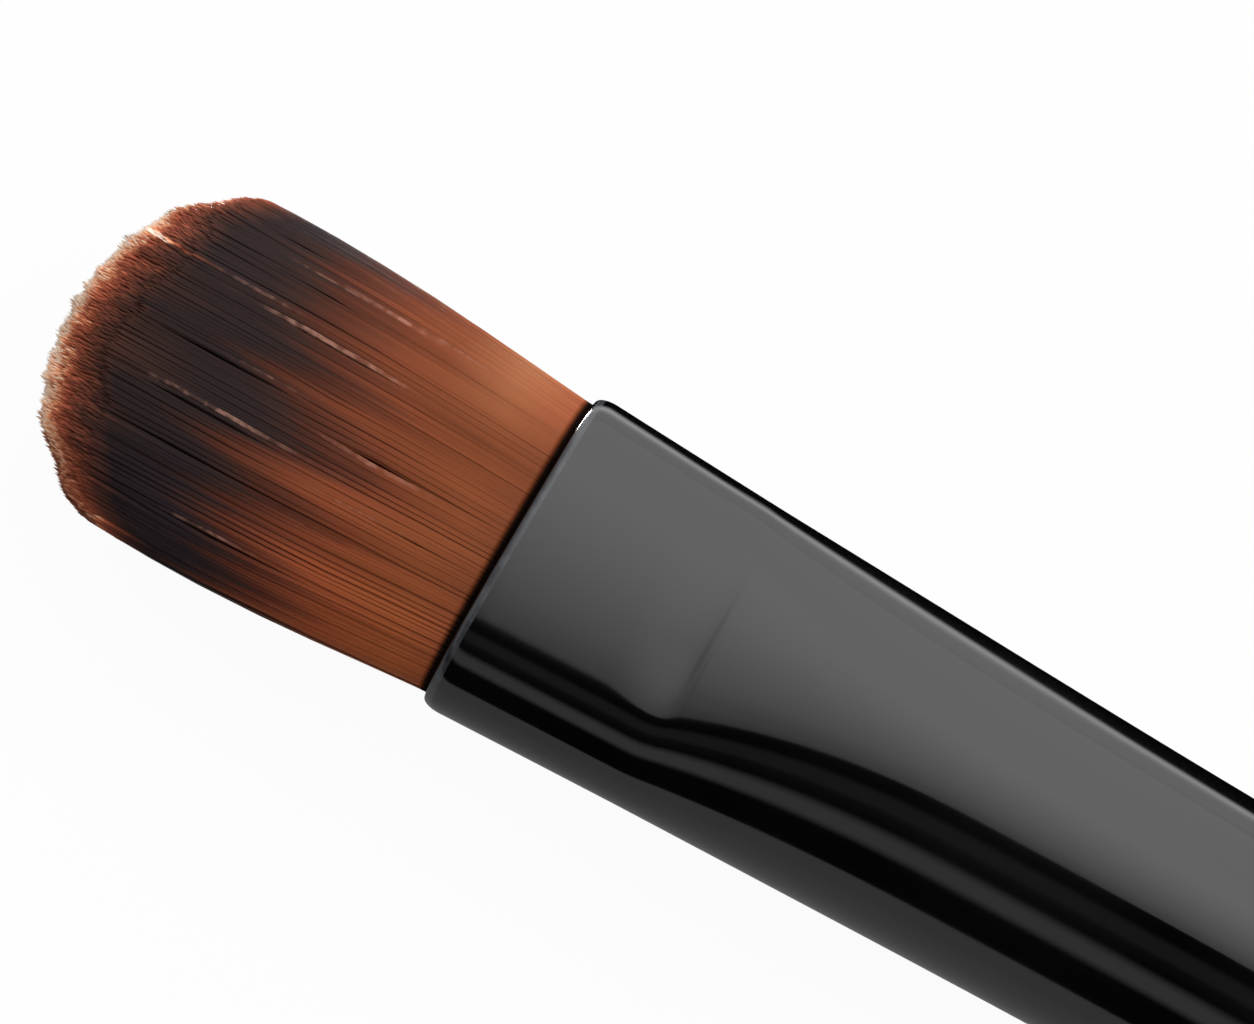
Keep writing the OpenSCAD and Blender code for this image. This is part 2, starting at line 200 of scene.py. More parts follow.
def linear(hex_colour):
    """An sRGB hex value as linear RGBA."""
    c = np.array([int(hex_colour[i : i + 2], 16) for i in (1, 3, 5)]) / 255
    c = np.where(c <= 0.04045, c / 12.92, ((c + 0.055) / 1.055) ** 2.4)
    return (*c, 1.0)


def add_node(holder, kind, settings=(), links=()):
    """A node in a material's or world's tree, with its settings and links; a setting that is an
    input's name or number sets that input."""
    tree = holder.node_tree
    node = tree.nodes.new(kind)
    for key, value in dict(settings).items():
        if isinstance(key, int) or (key in node.inputs and not hasattr(node, key)):
            node.inputs[key].default_value = value
        else:
            setattr(node, key, value)
    for key, source in dict(links).items():
        tree.links.new(source, node.inputs[key])
    return node


def noise(material, grain_mm, detail):
    """Soft noise fixed to the object, with a grain of this size, as a factor."""
    at = add_node(material, "ShaderNodeTexCoord").outputs["Object"]
    settings = {"Scale": 1 / (grain_mm * MM), "Detail": detail}
    return add_node(material, "ShaderNodeTexNoise", settings, {"Vector": at}).outputs["Fac"]


def attribute(material, name):
    """A mesh attribute as a factor."""
    return add_node(material, "ShaderNodeAttribute", {"attribute_name": name}).outputs["Fac"]


def new_material(name):
    """A material with an empty node tree."""
    material = bpy.data.materials.new(name)
    material.use_nodes = True
    material.node_tree.nodes.clear()
    return material


def finish_material(material, settings, links):
    """Ends a material in a Principled shader."""
    shader = add_node(material, "ShaderNodeBsdfPrincipled", settings, links)
    add_node(material, "ShaderNodeOutputMaterial", (), {"Surface": shader.outputs[0]})
    return material


def ramp(material, factor, stops):
    """A colour ramp with (place, hex colour) stops."""
    node = add_node(material, "ShaderNodeValToRGB", (), {"Fac": factor})
    elements = node.color_ramp.elements
    while len(elements) < len(stops):
        elements.new(1.0)
    for element, (place, colour) in zip(elements, stops):
        element.position = place
        element.color = linear(colour)
    return node.outputs["Color"]


def black_lacquer(name, base, roughness):
    """Sprayed and baked black gloss lacquer: a near-black film with clear, slightly soft
    reflections, whose faint unevenness is a millimetre or two across."""
    material = new_material(name)
    peel, haze = noise(material, 1.6, 2.0), noise(material, 7, 3.0)
    rough = add_node(
        material, "ShaderNodeMapRange",
        {"From Min": 0.3, "From Max": 0.7, "To Min": roughness - 0.02, "To Max": roughness + 0.03},
        {"Value": haze})
    bump = add_node(material, "ShaderNodeBump", {"Strength": 0.25, "Distance": 0.004 * MM}, {"Height": peel})
    tone = ramp(material, haze, [(0.35, base), (0.7, "#0a0a0b")])
    return finish_material(material, {"IOR": 1.5},
                           {"Base Color": tone, "Roughness": rough.outputs[0], "Normal": bump.outputs[0]})


def thin_lacquer_and_highlight(name):
    """Black lacquer that drew thin over the turned-in edge, so that the aluminium greys it, and lighter
    still as a painted highlight of the lip's rounding: a faint light line round the mouth, uneven along its
    length."""
    material = new_material(name)
    tone = ramp(material, noise(material, 0.4, 3.0), [(0.35, "#222327"), (0.65, "#393a40")])
    return finish_material(material, {"Roughness": 0.22, "IOR": 1.5}, {"Base Color": tone})


# Lengths in millimetres that the filament's two colour ramps cover, from the mouth and from the tip
DYE_SPAN, TIP_SPAN = 14.0, 2.0


def filament_material(name, gloss):
    """Dyed PBT filament, drawn and tapered: satin, copper brown at the root, dark brown where
    the second dye bath reached, and pale reddish copper in its fine last millimetre, painted
    paler still at the very tip for light shining through the thin tips. Runs of painted highlight
    lie along single filaments, and lit edges near the mouth get a painted tan tint. In the
    ferrule's mouth the filaments are painted dark and given no gloss: a painted shadow of the lip."""
    material = new_material(name)
    to_tip = attribute(material, "to_tip")

    def share(distance, span):
        """A distance as a share of its span."""
        return add_node(material, "ShaderNodeMath", {"operation": "DIVIDE", 1: span},
                        {0: distance}).outputs[0]

    def mixed(factor, colour, settings, links=()):
        """A colour mixed by a factor with the one on input 7, which a setting or a link gives."""
        return add_node(material, "ShaderNodeMix", {"data_type": "RGBA", **settings},
                        {0: factor, 6: colour, **dict(links)}).outputs[2]

    # Painted shadow: the first stops, over the first 0.3 mm in front of the mouth, are near black for the
    # shadow of the lip; the dark band further on is the filament's own dye
    dyed = ramp(material, share(attribute(material, "from_mouth"), DYE_SPAN), [
        (0.0, "#0c0706"), (0.0105, "#0e0907"), (0.0205, "#7b4026"), (0.1, "#804325"),
        (0.3, "#783b23"), (0.39, "#5f3020"), (0.46, "#4a241a"), (0.53, "#301e1b"),
        (0.6, "#1e181c"), (0.72, "#1b171b"), (0.84, "#2d1e1c"), (1.0, "#432722")])
    # The filament's own paler tips, painted paler still, to near white at the very end, for light that
    # shines through the thin tips
    tipped = ramp(material, share(to_tip, TIP_SPAN), [
        (0.02, "#ffe6d3"), (0.11, "#ffd8b8"), (0.185, "#e89f75"), (0.26, "#bd6b4c"),
        (0.34, "#a0513a"), (0.43, "#7c3f2e"), (0.55, "#643528"), (0.7, "#4a2a22")])
    near_tip = add_node(material, "ShaderNodeMapRange", {"From Min": TIP_SPAN, "From Max": 1.2},
                        {"Value": to_tip}).outputs[0]
    colour = mixed(near_tip, dyed, {}, {7: tipped})
    # The shade attribute scales the colour: random tone, and painted light on the edges
    toned = add_node(material, "ShaderNodeVectorMath", {"operation": "SCALE"},
                     {0: colour, "Scale": attribute(material, "shade")}).outputs[0]
    # Painted light: a tan tint where the edges near the mouth are painted lighter
    toned = mixed(attribute(material, "thin"), toned, {7: linear("#c69870")})
    # Painted highlight: along the runs the colour is mixed towards pale pink, broken into beads by noise
    beads = add_node(material, "ShaderNodeMapRange", {"From Min": 0.4, "From Max": 0.65, "To Min": 0.15},
                     {"Value": noise(material, 0.3, 1.0)}).outputs[0]
    lit = add_node(material, "ShaderNodeMath", {"operation": "MULTIPLY"},
                   {0: attribute(material, "sheen"), 1: beads}).outputs[0]
    pale = mixed(lit, toned, {7: linear("#e8ad97")})
    return finish_material(
        material,
        {"Roughness": 0.42, "IOR": 1.5, "Specular IOR Level": gloss, "Specular Tint": linear("#e8b9a0")},
        {"Base Color": pale})


def plain_grain(name, low, high, grain_mm, settings):
    """A cast, wound or packed material that no one sees: two tones in grains of a real size."""
    material = new_material(name)
    grain = noise(material, grain_mm, 3.0)
    tone = ramp(material, grain, [(0.35, low), (0.65, high)])
    bump = add_node(material, "ShaderNodeBump", {"Strength": 0.3, "Distance": 0.02 * MM}, {"Height": grain})
    return finish_material(material, settings, {"Base Color": tone, "Normal": bump.outputs[0]})


# ---------------------------------------------------------------- ferrule


def crimp_cut(x):
    """Depth of the crimps at x: a raised-cosine groove in each."""
    cut = np.zeros_like(x)
    for at in CRIMPS_AT:
        off = np.abs(x - at) / CRIMP_W
        cut = np.maximum(cut, np.where(off < 0.5, CRIMP_DEPTH * (1 + np.cos(2 * np.pi * off)) / 2, 0))
    return cut


def crease_cut(x, y, up):
    """Depth of the fold's mark across the upper face: a shallow trough along a line that leans a
    little, gentle towards the mouth and steeper behind, fading towards both sides of the face."""
    off = x - (CREASE_AT - CREASE_LEAN * y)
    share = off / np.where(off < 0, CREASE_FRONT, CREASE_BACK)
    return CREASE_DEPTH * sway(1 - np.abs(share)) * window(y, CREASE_FROM_Y, CREASE_TO_Y) * (up > 0.5)


def build_ferrule(materials):
    """One closed shell: out over the turned-in lip, back along the outside, round the rear edge
    and forward along the inner wall. Each row is an oval section, sunk along its normals by its
    inset: the lip's fall, the crimps, the crease or the wall. The lacquer is thin over the lip,
    and lighter there as a painted highlight."""
    lip = np.radians(np.linspace(0, 90, 17))
    crease = np.linspace(FLAT_LEN - FOLD_BEFORE, FLAT_LEN + FOLD_AFTER, 121)
    x = np.concatenate([
        np.linspace(LIP_LEN, crease[0], 10)[1:-1], crease,
        crease[-1] + (ROUND_AT - crease[-1]) * np.linspace(0, 1, 60)[1:] ** 1.15,
        np.linspace(ROUND_AT, CRIMPED_FROM, 8)[1:], np.linspace(CRIMPED_FROM, CRIMPED_TO, 61)[1:],
        np.linspace(CRIMPED_TO, FERRULE_LEN - REAR_EDGE_R, 6)[1:]])
    rear = np.radians(np.linspace(0, 90, 6))[1:]
    inner_x = np.concatenate([
        [FERRULE_LEN], np.linspace(CRIMPED_TO, CRIMPED_FROM, 31), np.linspace(CRIMPED_FROM - 1, 0.0, 40)])
    rows = np.concatenate([
        LIP_LEN * (1 - np.cos(lip)), x, FERRULE_LEN - REAR_EDGE_R * (1 - np.sin(rear)), inner_x])
    inset = np.concatenate([
        LIP_DROP * (1 - np.sin(lip)), crimp_cut(x), REAR_EDGE_R * (1 - np.cos(rear)),
        WALL + np.where(inner_x > ROUND_AT, SLEEVE_STEP, 0) + crimp_cut(inner_x)])
    angles = section_angles(SIDE_STEPS, FACE_STEPS)
    r = side_r(rows)
    shell = oval(rows, half_w(rows) - r, r, angles)
    a = np.radians(angles)
    outside = np.arange(len(rows)) < len(rows) - len(inner_x)
    sunk = inset[:, None] + crease_cut(shell[..., 0], shell[..., 1], np.sin(a)) * outside[:, None]
    shell[..., 1] -= sunk * np.cos(a)
    shell[..., 2] -= sunk * np.sin(a)
    ob = add_mesh("ferrule_shell", in_frame(shell).reshape(-1, 3),
                  [bands(len(rows), len(angles), close_rows=True)], materials, sharp_over=35)
    row = np.repeat(np.arange(len(rows)), len(angles))
    # Rows of the lip's rounding with the thin lacquer, whose lighter tone is partly a painted highlight
    first_worn_highlit, last_worn_highlit = 5, 9
    worn_and_highlit = (row >= first_worn_highlit) & (row <= last_worn_highlit)
    ob.data.polygons.foreach_set("material_index", worn_and_highlit.astype(np.int32))
    return ob


# ---------------------------------------------------------------- handle


def build_handle(material):
    """A turned outline: tenon with the crimps' grooves, shoulder, swell, cylindrical grip,
    long taper and elliptical tail, closed by a pole at each end."""
    tenon_start, tenon_r = FERRULE_LEN - TENON_LEN, TUBE_R - WALL - SLEEVE_STEP - ADHESIVE_T
    pole_r = 0.02
    tenon_x = np.concatenate([
        [tenon_start + TENON_NOSE], np.linspace(CRIMPED_FROM, CRIMPED_TO, 41), [FERRULE_LEN]])
    corner = np.radians(np.linspace(0, 90, 10))
    share = np.linspace(0, 1, 65)[1:]
    swell_from, grip_from = FERRULE_LEN + SHOULDER_ROUND, FERRULE_LEN + GRIP_AT
    end = FERRULE_LEN + HANDLE_LEN
    tail = np.radians(np.linspace(0, 90, 25))[1:-1]
    x = np.concatenate([
        [tenon_start, tenon_start], tenon_x, FERRULE_LEN + SHOULDER_ROUND * (1 - np.cos(corner)),
        swell_from + (grip_from - swell_from) * share, grip_from + GRIP_LEN * share[::8],
        grip_from + GRIP_LEN + (end - TAIL_LEN - grip_from - GRIP_LEN) * share,
        end - TAIL_LEN * (1 - np.sin(tail))])
    r = np.concatenate([
        [pole_r, tenon_r - TENON_NOSE / 2], tenon_r - crimp_cut(tenon_x),
        SHOULDER_R - SHOULDER_ROUND * (1 - np.sin(corner)),
        SHOULDER_R + (GRIP_R - SHOULDER_R) * sway(share), np.full(8, GRIP_R),
        GRIP_R + (TAIL_R - GRIP_R) * sway(share), TAIL_R * np.cos(tail)])
    columns = HANDLE_STEPS
    a = 2 * np.pi * np.arange(columns) / columns
    body = np.stack([x[:, None] + 0 * a, r[:, None] * np.cos(a), r[:, None] * np.sin(a)], -1).reshape(-1, 3)
    points = np.concatenate([body, [[tenon_start, 0, 0], [end, 0, 0]]])
    k = np.arange(columns)
    last = (len(x) - 1) * columns
    front = np.stack([0 * k + len(body), k, (k + 1) % columns], -1)
    back = np.stack([0 * k + len(body) + 1, last + (k + 1) % columns, last + k], -1)
    return add_mesh("handle_turned", in_frame(points),
                    [bands(len(x), columns), front[:, ::-1], back[:, ::-1]], [material], sharp_over=35)


# ---------------------------------------------------------------- tuft

FILAMENT_D = 0.11
LATTICE = 0.085
SIDES = 5
# Length in front of the mouth that takes the glossless filament material, a painted shadow of the lip
MOUTH_SHADOW_LEN = 0.28
RING_SHARES = np.array([0, 0.16, 0.33, 0.49, 0.65, 0.79, 0.91, 0.983])
GIRTH_SHARES = np.array([1, 1, 1, 1, 1, 0.97, 0.93, 0.86, 0.66])
GIRTH_FROM, GIRTH_TO = 1.02, 1.32
SOFT_SHADING = 0.88
LAYER_LIMIT = 1.1
STRIP_ROWS = 12
TUFT_SEED, FIBRE_SEED = 11, 12

# Partings of the upper face, from the look of the brush: place across, from and to in
# front of the mouth, and how far the filaments stand aside
UPPER_PARTINGS = [
    (3.05, 5.9, 9.4, 0.055), (1.9, 3.4, 9.4, 0.055), (0.8, 4.2, 7.0, 0.04), (0.22, 5.4, 11.6, 0.06),
    (-0.25, 1.4, 6.4, 0.075), (-1.25, 5.2, 11.4, 0.06), (-1.7, 1.0, 4.5, 0.04), (-2.37, 1.0, 12.0, 0.07),
    (-3.9, 4.4, 9.2, 0.06), (3.95, 6.5, 10.5, 0.045)]

# Painted highlights, as pale runs on single filaments: place across, from and to in front of
# the mouth, and strength; and half a run's breadth
PAINTED_HIGHLIGHT_RUNS = [
    (3.5, 2.9, 8.4, 0.33), (1.97, 3.4, 9.2, 0.38), (2.25, 7.6, 10.6, 0.15), (-0.4, 2.0, 5.0, 0.25),
    (-1.1, 5.5, 10.6, 0.3), (-3.95, 4.7, 7.8, 0.4), (-1.6, 1.2, 4.6, 0.2), (0.4, 7.0, 9.0, 0.15)]
PAINTED_HIGHLIGHT_HALF = 0.045

# Darker and lighter locks of the upper face: place across, from and to in front of the mouth,
# change of shade, and half their breadth
LOCKS = [
    (-0.17, 1.6, 5.8, -0.3, 0.12), (-0.66, 1.8, 5.6, -0.3, 0.14), (-2.45, 1.8, 7.2, -0.32, 0.12),
    (-1.75, 0.8, 6.4, 0.15, 0.22), (1.62, 0.8, 4.2, -0.2, 0.14), (-2.95, 1.0, 6.0, -0.12, 0.15),
    (-3.55, 0.6, 5.0, 0.1, 0.2), (0.3, 0.6, 3.2, 0.12, 0.15), (2.6, 1.0, 7.0, 0.12, 0.15),
    (3.2, 3.0, 7.0, -0.2, 0.15), (0.95, 1.5, 5.5, -0.14, 0.12)]

# Tables of hills across the tuft where it is widest: place, height and spread. How far the dark
# dye runs ahead towards the mouth; how far the trimmed outline stands out of the dome's law; and
# how much lighter the edges are painted: painted light for light that falls on the thin edges and passes
# through them
DYE_LEADS = [
    (3.1, -0.3, 0.6), (2.03, -0.2, 0.35), (1.5, 0.4, 0.4), (-0.65, 1.5, 0.38), (-1.76, -0.6, 0.35),
    (-2.4, 0.4, 0.33), (-3.7, 0.3, 0.7), (-4.6, 0.5, 0.5)]
TIP_LEADS = [
    (3.4, 0.08, 0.4), (4.1, -0.12, 0.4), (1.7, -0.06, 0.4), (-1.5, -0.06, 0.4), (-3.0, 0.12, 0.3),
    (-3.95, -0.3, 0.45)]
PAINTED_EDGE_LIGHT = [
    (4.4, 0.8, 1.5), (4.9, 0.24, 0.4), (0.3, 0.14, 0.3), (-1.4, 0.12, 0.3), (-3.85, 0.72, 0.8),
    (-4.9, 0.6, 0.5)]

# Unevenness between neighbouring filaments, as waves of (strength, size): of the trimmed outline,
# of their shade, and of where the dark dye begins
TRIM_WAVES = [(0.065, 0.28), (0.04, 0.75)]
SHADE_WAVES = [(0.035, 0.17), (0.035, 0.5)]
DYE_WAVES = [(0.4, 0.2), (0.25, 0.6)]

# The outline stands this far outside the dome's law, and a filament ends up to so much short
TRIM_OVER, TRIM_SHORT = 0.12, 0.08
# Fine partings of each face, and how far they and those of the table are felt across
FINE_PARTINGS, FINE_PARTING_REACH, PARTING_REACH = 40, 0.1, 0.25
# Share of strays among the filaments, how far they lean at the tip, and where across they grow
STRAYS, STRAY_LEAN, STRAYS_WITHIN = 0.04, 0.22, 0.45
# Places in the tables are across this share of the widest section
TABLE_SHARE = 0.98
# The swollen tuft leans a little to -Y, and spreads a little past the CAD's law
TUFT_LEAN, TUFT_SPREAD = 0.045, 0.06
# Place across of a few filaments whose pale ends are longer, as seen from the camera, and by how much: a
# painted highlight on their tips
PAINTED_TIP_HIGHLIGHT_AT, PAINTED_TIP_HIGHLIGHT_BY = 2.62, 0.7


def hills(y, places):
    """Sum of bell shapes across the tuft, from a table of place, height and spread."""
    return sum(height * np.exp(-((y - at) / spread) ** 2) for at, height, spread in places)


def patches(rng, y, z, size):
    """A smooth random value at each place, with a spread of about one: random numbers on a square
    grid of this size, blended evenly between its corners."""
    cells = 64
    grid = rng.normal(0, 1.5, (cells, cells))
    i, j = np.floor(y / size).astype(int), np.floor(z / size).astype(int)
    u, v = sway(y / size - i), sway(z / size - j)
    near, far = ((1 - u) * grid[i % cells, k % cells] + u * grid[(i + 1) % cells, k % cells]
                 for k in (j, j + 1))
    return (1 - v) * near + v * far


def uneven(rng, y, z, waves):
    """Sum of patches of several sizes, from a table of strength and size."""
    return sum(strength * patches(rng, y, z, size) for strength, size in waves)


def lattice_places(rng):
    """Where filaments leave the mouth: a triangular lattice whose rows are spread at each place
    across, so that a whole number of them fills the oval's height, each filament then shaken by
    about a quarter of its step."""
    # More rows, and more places in a row, than the mouth holds
    i, j = np.meshgrid(np.arange(-45, 46), np.arange(-65, 66), indexing="ij")
    y = ((j + (i % 2) / 2) + rng.uniform(-0.27, 0.27, i.shape)).ravel() * LATTICE
    w, r = TUFT_MOUTH_W - FILAMENT_D / 2, TUFT_MOUTH_R - FILAMENT_D / 2
    height = half_height(np.clip(y, -w, w), w, r)
    rows = np.maximum(np.round(height / (LATTICE * math.sqrt(3) / 2)), 1)
    up = np.clip((i + rng.uniform(-0.2, 0.2, i.shape)).ravel() / rows, -1, 1)
    inside = (np.abs(y) < w) & (np.abs(i.ravel()) <= rows)
    return y[inside], (up * height)[inside]


def filament_paths(rng):
    """Centre lines of the filaments, as arrays for each filament and ring: distance in front of the
    mouth, place (y, z) and its shares of the section's half-width and half-height. A filament
    keeps its shares as the tuft swells and thins, stands aside at partings, and wanders in a slow
    sine of its own. Also each filament's reach in front of the mouth, and how far that is set back
    from the outline seen from above."""
    y0, z0 = lattice_places(rng)
    count = len(y0)
    w0, r0 = TUFT_MOUTH_W - FILAMENT_D / 2, TUFT_MOUTH_R - FILAMENT_D / 2
    across, up = y0 / w0, z0 / half_height(y0, w0, r0)
    dome_y = np.clip(np.abs(across), 0, 1)
    tip_height = half_height(across * TUFT_W / 2, TUFT_W / 2, TUFT_TIP_R)
    dome_z = np.clip(np.abs(up) * tip_height / (TUFT_TIP_T / 2), 0, 1)
    set_back = TUFT_DOME_T * (1 - np.sqrt(1 - dome_z**2))
    out = (TUFT_OUT - TUFT_DOME_W * (1 - np.sqrt(1 - dome_y**2)) - set_back
           + TRIM_OVER + hills(across * TUFT_W / 2, TIP_LEADS) + uneven(rng, y0, z0, TRIM_WAVES)
           - TRIM_SHORT * rng.random(count) ** 2)
    d = MOUTH_SHADOW_LEN + RING_SHARES[None, :] * (out - MOUTH_SHADOW_LEN)[:, None]
    d = np.concatenate([0 * out[:, None] - ROOT_START, d, out[:, None]], axis=1)
    y, z = y0[:, None] + 0 * d, z0[:, None] + 0 * d
    flare = w0 / (TUFT_W / 2 * TABLE_SHARE)

    def aside_at(at, aside, reach):
        """How far each filament stands aside from a parting, less and less with its distance."""
        near = (y0 - at)[:, None]
        return np.sign(near) * aside * np.exp(-np.abs(near) / reach)

    for at, start, end, aside in UPPER_PARTINGS:
        y = y + aside_at(at * flare, aside, PARTING_REACH) * window(d, start, end) * (z0[:, None] > -0.4)
    for face in (1, -1):
        for _ in range(FINE_PARTINGS):
            at, start, length = rng.uniform(-4.4, 4.4), rng.uniform(0.2, 9), rng.uniform(2, 5)
            pushed = aside_at(at, rng.uniform(0.003, 0.017), FINE_PARTING_REACH)
            y = y + pushed * window(d, start, start + length) * (face * z0[:, None] > 0.4)
    loose = sway(d / 5)
    period, phase = rng.uniform(7, 15, (count, 1)), rng.uniform(0, 2 * np.pi, (count, 1))
    swing = rng.uniform(0.005, 0.025, (count, 1))
    lean = rng.normal(0, STRAY_LEAN, (count, 1)) * (rng.random((count, 1)) < STRAYS)
    lean = lean * (dome_y < STRAYS_WITHIN)[:, None]
    y = y + loose * swing * np.sin(2 * np.pi * d / period + phase) + lean * sway(d / TUFT_OUT)
    z = z + loose * swing * np.cos(2 * np.pi * d / period + 2 * phase)
    across = np.clip(y / w0, -1, 1)
    up = np.clip(z / np.maximum(half_height(across * w0, w0, r0), 0.05), -1, 1)
    w = tuft_half_w(d) - FILAMENT_D / 2 + TUFT_SPREAD * sway(d / TUFT_WIDEST_AT)
    y = across * w
    z = up * half_height(y, w, tuft_r(d) - FILAMENT_D / 2)
    y = y - TUFT_LEAN * sway(d / TUFT_WIDEST_AT)
    return d, y, z, across, up, out, set_back


def strip_map(count, levels):
    """Each filament's own upright strip on the map, in corner order: its sides lie on one another
    over the strip's width, between its butt below and its tip above."""
    columns = -(-count // STRIP_ROWS)
    f = np.arange(count)[:, None, None]
    left, right = ((f % columns + share) / columns for share in (0.1, 0.9))
    floor_of = f // columns
    k = np.arange((levels - 1) * SIDES) // SIDES
    low, high = ((floor_of[..., 0] + 0.06 + 0.86 * (k + step)[None] / (levels - 1)) / STRIP_ROWS
                 for step in (0, 1))
    start, stop = left[..., 0] + 0 * low, right[..., 0] + 0 * low
    tube = np.stack([np.stack([start, stop, stop, start], -1), np.stack([high, high, low, low], -1)], -1)
    top, end = (floor_of + 0.92) / STRIP_ROWS, (floor_of + 0.98) / STRIP_ROWS
    point = np.concatenate([np.concatenate([(left + right) / 2, right, left], -1),
                            np.concatenate([end, top, top], -1)], 1)
    point = np.repeat(point.transpose(0, 2, 1)[:, None], SIDES, axis=1)
    a = 2 * np.pi * np.arange(SIDES) / SIDES
    butt = np.stack([(left + right)[..., 0] / 2 + (right - left)[..., 0] / 2 * np.cos(a),
                     (floor_of[..., 0] + 0.03 + 0.02 * np.sin(a)) / STRIP_ROWS], -1)
    return np.concatenate([tube.reshape(-1, 2), point.reshape(-1, 2), butt.reshape(-1, 2)])


def build_filaments(name, paths, looks, keep, materials):
    """Tapered tubes of SIDES sides round the centre lines, each closed at its root and drawn to a
    point at its tip. Their shading normals lean towards those of the whole tuft, as a real tuft's
    far finer filaments shade. The looks go along as attributes."""
    d, y, z, across, up, out, set_back = (v[keep] for v in paths)
    count, levels = len(out), len(GIRTH_SHARES)
    a = 2 * np.pi * np.arange(SIDES) / SIDES
    girth = FILAMENT_D / 2 * GIRTH_SHARES[None, :, None] * looks["girth"][keep][:, None, None]
    ring = np.stack([
        -d[:, :levels, None] + 0 * a,
        y[:, :levels, None] + girth * np.cos(a),
        z[:, :levels, None] + girth * np.sin(a)], -1).reshape(count, levels * SIDES, 3)
    tip = np.stack([-d[:, -1], y[:, -1], z[:, -1]], -1)[:, None]
    points = np.concatenate([ring, tip], axis=1)
    each = levels * SIDES + 1
    first = (np.arange(count) * each)[:, None, None]
    tube = (first + bands(levels, SIDES)[None]).reshape(-1, 4)
    k = np.arange(SIDES)
    last = (levels - 1) * SIDES
    point = first + np.stack([last + k, last + (k + 1) % SIDES, 0 * k + levels * SIDES], -1)[None]
    point = point.reshape(-1, 3)
    butt = (first[:, 0] + k[::-1][None]).reshape(-1, SIDES)
    ob = add_mesh(name, in_frame(points.reshape(-1, 3)),
                  [tube[:, ::-1], point[:, ::-1], butt[:, ::-1]], materials)
    # The first stretch of each filament, and its butt, take the glossless material: a painted shadow of the
    # lip
    in_mouth_shadow = np.concatenate([
        np.tile(np.arange((levels - 1) * SIDES) < SIDES, count), np.zeros(len(point)), np.ones(count)])
    ob.data.polygons.foreach_set("material_index", in_mouth_shadow.astype(np.int32))

    def along(values):
        """Values of the rings for each of their corners, and that of the tip."""
        return np.concatenate([np.repeat(values[:, :levels], SIDES, axis=1), values[:, -1:]], axis=1)

    own = np.zeros((count, each, 3))
    own[:, :-1, 1], own[:, :-1, 2] = np.tile(np.cos(a), levels), np.tile(np.sin(a), levels)
    own[:, -1, 0] = -1
    whole = np.stack([0 * across, across * np.abs(across) / tuft_half_w(d), up / TUFT_TIP_T], -1)
    whole /= np.linalg.norm(whole, axis=-1, keepdims=True) + 1e-9
    whole = np.stack([along(whole[..., q]) for q in range(3)], -1)
    pull = SOFT_SHADING * along(np.maximum(np.abs(across), np.abs(up)) ** 2)[..., None]
    normals = (1 - pull) * own + pull * whole
    normals /= np.linalg.norm(normals, axis=-1, keepdims=True)
    ob.data.normals_split_custom_set_from_vertices(normals.reshape(-1, 3))
    own_map = ob.data.uv_layers.new(name="OFBake")
    own_map.data.foreach_set("uv", strip_map(count, levels).astype(np.float32).ravel())

    level = along(d)
    values = {
        "from_mouth": level + looks["drift"][keep][:, None] * sway((level - 0.5) / 4),
        "to_tip": (out + set_back)[:, None] - level + looks["tip_drift"][keep][:, None],
        "sheen": along(looks["sheen"][keep]),
        "thin": along(looks["thin"][keep]),
        "shade": along(looks["shade"][keep])}
    for key, value in values.items():
        add_attribute(ob, key, value)
    return ob


